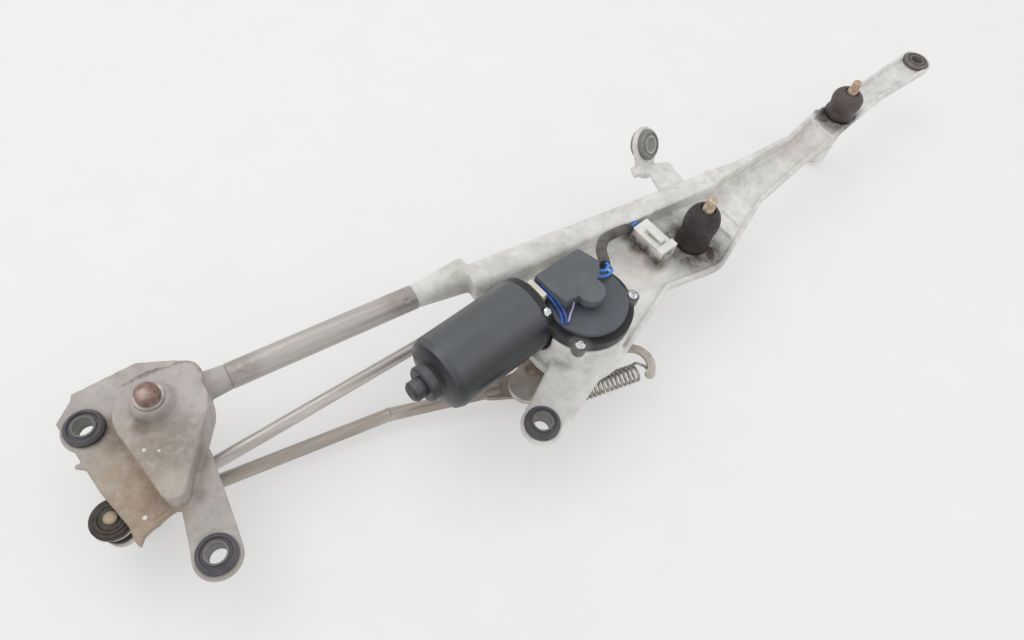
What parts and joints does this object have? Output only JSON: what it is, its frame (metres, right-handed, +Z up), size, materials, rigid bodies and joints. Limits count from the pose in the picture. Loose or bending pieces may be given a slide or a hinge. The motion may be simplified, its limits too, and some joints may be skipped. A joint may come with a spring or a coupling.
{
  "type": "wiper linkage",
  "caption": "Car windscreen wiper linkage: cast brackets joined by a tube, a geared motor with a crank, and rods and levers that swing the wiper spindles.",
  "frame": {"origin": "centre of the bounding box's footprint, on the floor that the linkage lies on", "axes": "+X along the frame from the left bracket to the right mount, +Y to the side of the tilted ear, +Z up along the wiper spindles"},
  "size_m": [0.9406, 0.213, 0.13],
  "materials": {
    "cast_aluminium": "as cast, mottled with white oxide and dirt",
    "tube_steel": "drawn tube, satin",
    "grommet_rubber": "moulded, matt",
    "bush_bronze": "sintered",
    "can_black": "satin black paint",
    "magnet_ferrite": "sintered ferrite",
    "card_brown": "laminated card",
    "housing_black": "black paint on a die casting",
    "cover_grey": "moulded, slate grey",
    "cap_grey": "moulded, dark grey",
    "plug_white": "moulded, white",
    "screw_zinc": "bright zinc plate",
    "lead_blue": "extruded insulation",
    "sleeve_grey": "slit sleeve",
    "boot_rubber": "moulded, dusty",
    "spindle_steel": "turned, rusted at the tip",
    "lever_steel": "stamped strip",
    "stud_steel": "turned and riveted",
    "clip_steel": "bright spring steel",
    "rod_steel": "drawn, satin",
    "socket_brown": "moulded, greasy",
    "cover_rubber": "moulded, ribbed",
    "shaft_steel": "ground",
    "wheel_nylon": "moulded",
    "spring_steel": "coiled wire",
    "core_iron": "laminations with windings",
    "bar_copper": "turned copper bars"
  },
  "bodies": {
    "frame": {"left_bracket": "cast_aluminium", "right_casting": "cast_aluminium", "frame_tube": "tube_steel", "mount_grommets": "grommet_rubber", "spindle_bushes": "bush_bronze", "motor_can": "can_black", "motor_magnets": "magnet_ferrite", "brush_card": "card_brown", "gear_housing": "housing_black", "gear_cover": "cover_grey", "terminal_cap": "cap_grey", "brush_plug": "plug_white", "cover_screws": "screw_zinc", "can_screws": "screw_zinc", "motor_bolts": "screw_zinc", "blue_leads": "lead_blue", "lead_sleeve": "sleeve_grey", "connector_shell": "plug_white", "connector_clip": "plug_white", "right_boot": "boot_rubber", "idle_boot": "boot_rubber"},
    "left_lever": {"left_spindle": "spindle_steel", "left_lever_arm": "lever_steel", "left_drive_stud": "stud_steel", "left_link_stud": "stud_steel", "left_clip": "clip_steel", "left_washer": "clip_steel"},
    "long_rod": {"long_rod_tube": "rod_steel", "long_rod_sockets": "socket_brown", "long_rod_dust_covers": "cover_rubber", "right_ball_stud": "stud_steel"},
    "drive_rod": {"drive_rod_tube": "rod_steel", "drive_rod_sockets": "socket_brown", "drive_rod_dust_covers": "cover_rubber", "crank_ball_stud": "stud_steel"},
    "right_lever": {"right_spindle": "spindle_steel", "right_lever_arm": "lever_steel", "right_lever_rivet": "stud_steel", "right_clip": "clip_steel", "right_washer": "clip_steel"},
    "idle_shaft": {"idle_spindle": "spindle_steel", "idle_clip": "clip_steel"},
    "crank": {"output_shaft": "shaft_steel", "worm_wheel": "wheel_nylon", "crank_arm": "lever_steel", "crank_pin": "stud_steel", "crank_nut": "stud_steel", "spring_hook": "lever_steel", "crank_spring": "spring_steel"},
    "armature": {"armature_core": "core_iron", "commutator": "bar_copper", "worm_shaft": "shaft_steel"}
  },
  "joints": [
    {"name": "left_spindle_swing", "type": "hinge", "parent": "frame", "child": "left_lever", "pos_m": [-0.40317, 0.04404, 0.06], "axis": [0, 0, 1], "range_deg": [0, 86.85]},
    {"name": "right_spindle_swing", "type": "hinge", "parent": "frame", "child": "right_lever", "pos_m": [0.04883, -0.00796, 0.06], "axis": [0, 0, 1], "range_deg": [-80.85, 0]},
    {"name": "long_rod_pivot", "type": "hinge", "parent": "left_lever", "child": "long_rod", "pos_m": [-0.45583, -0.00507, 0.049], "axis": [0, 0, 1], "range_deg": [-84.2, 0]},
    {"name": "drive_rod_pivot", "type": "hinge", "parent": "left_lever", "child": "drive_rod", "pos_m": [-0.4412, 0.00857, 0.013], "axis": [0, 0, 1], "range_deg": [-86.02, 0]},
    {"name": "crank_turn", "type": "hinge", "parent": "frame", "child": "crank", "pos_m": [-0.10117, -0.03796, 0.06], "axis": [0, 0, 1], "range_deg": [0, 180.05]},
    {"name": "idle_spindle_turn", "type": "hinge", "parent": "frame", "child": "idle_shaft", "pos_m": [0.30383, 0.05304, 0.06], "axis": [0, 0, 1], "continuous": true},
    {"name": "armature_spin", "type": "hinge", "parent": "frame", "child": "armature", "pos_m": [-0.10595, -0.01088, 0.0975], "axis": [0.9848, 0.1736, 0], "continuous": true}
  ],
  "couplings": [
    {"joint": "right_spindle_swing", "follows": "left_spindle_swing", "ratio": -0.93082},
    {"joint": "long_rod_pivot", "follows": "left_spindle_swing", "ratio": -0.96947},
    {"joint": "drive_rod_pivot", "follows": "left_spindle_swing", "ratio": -0.99034},
    {"joint": "crank_turn", "follows": "left_spindle_swing", "ratio": 2.0725}
  ]
}
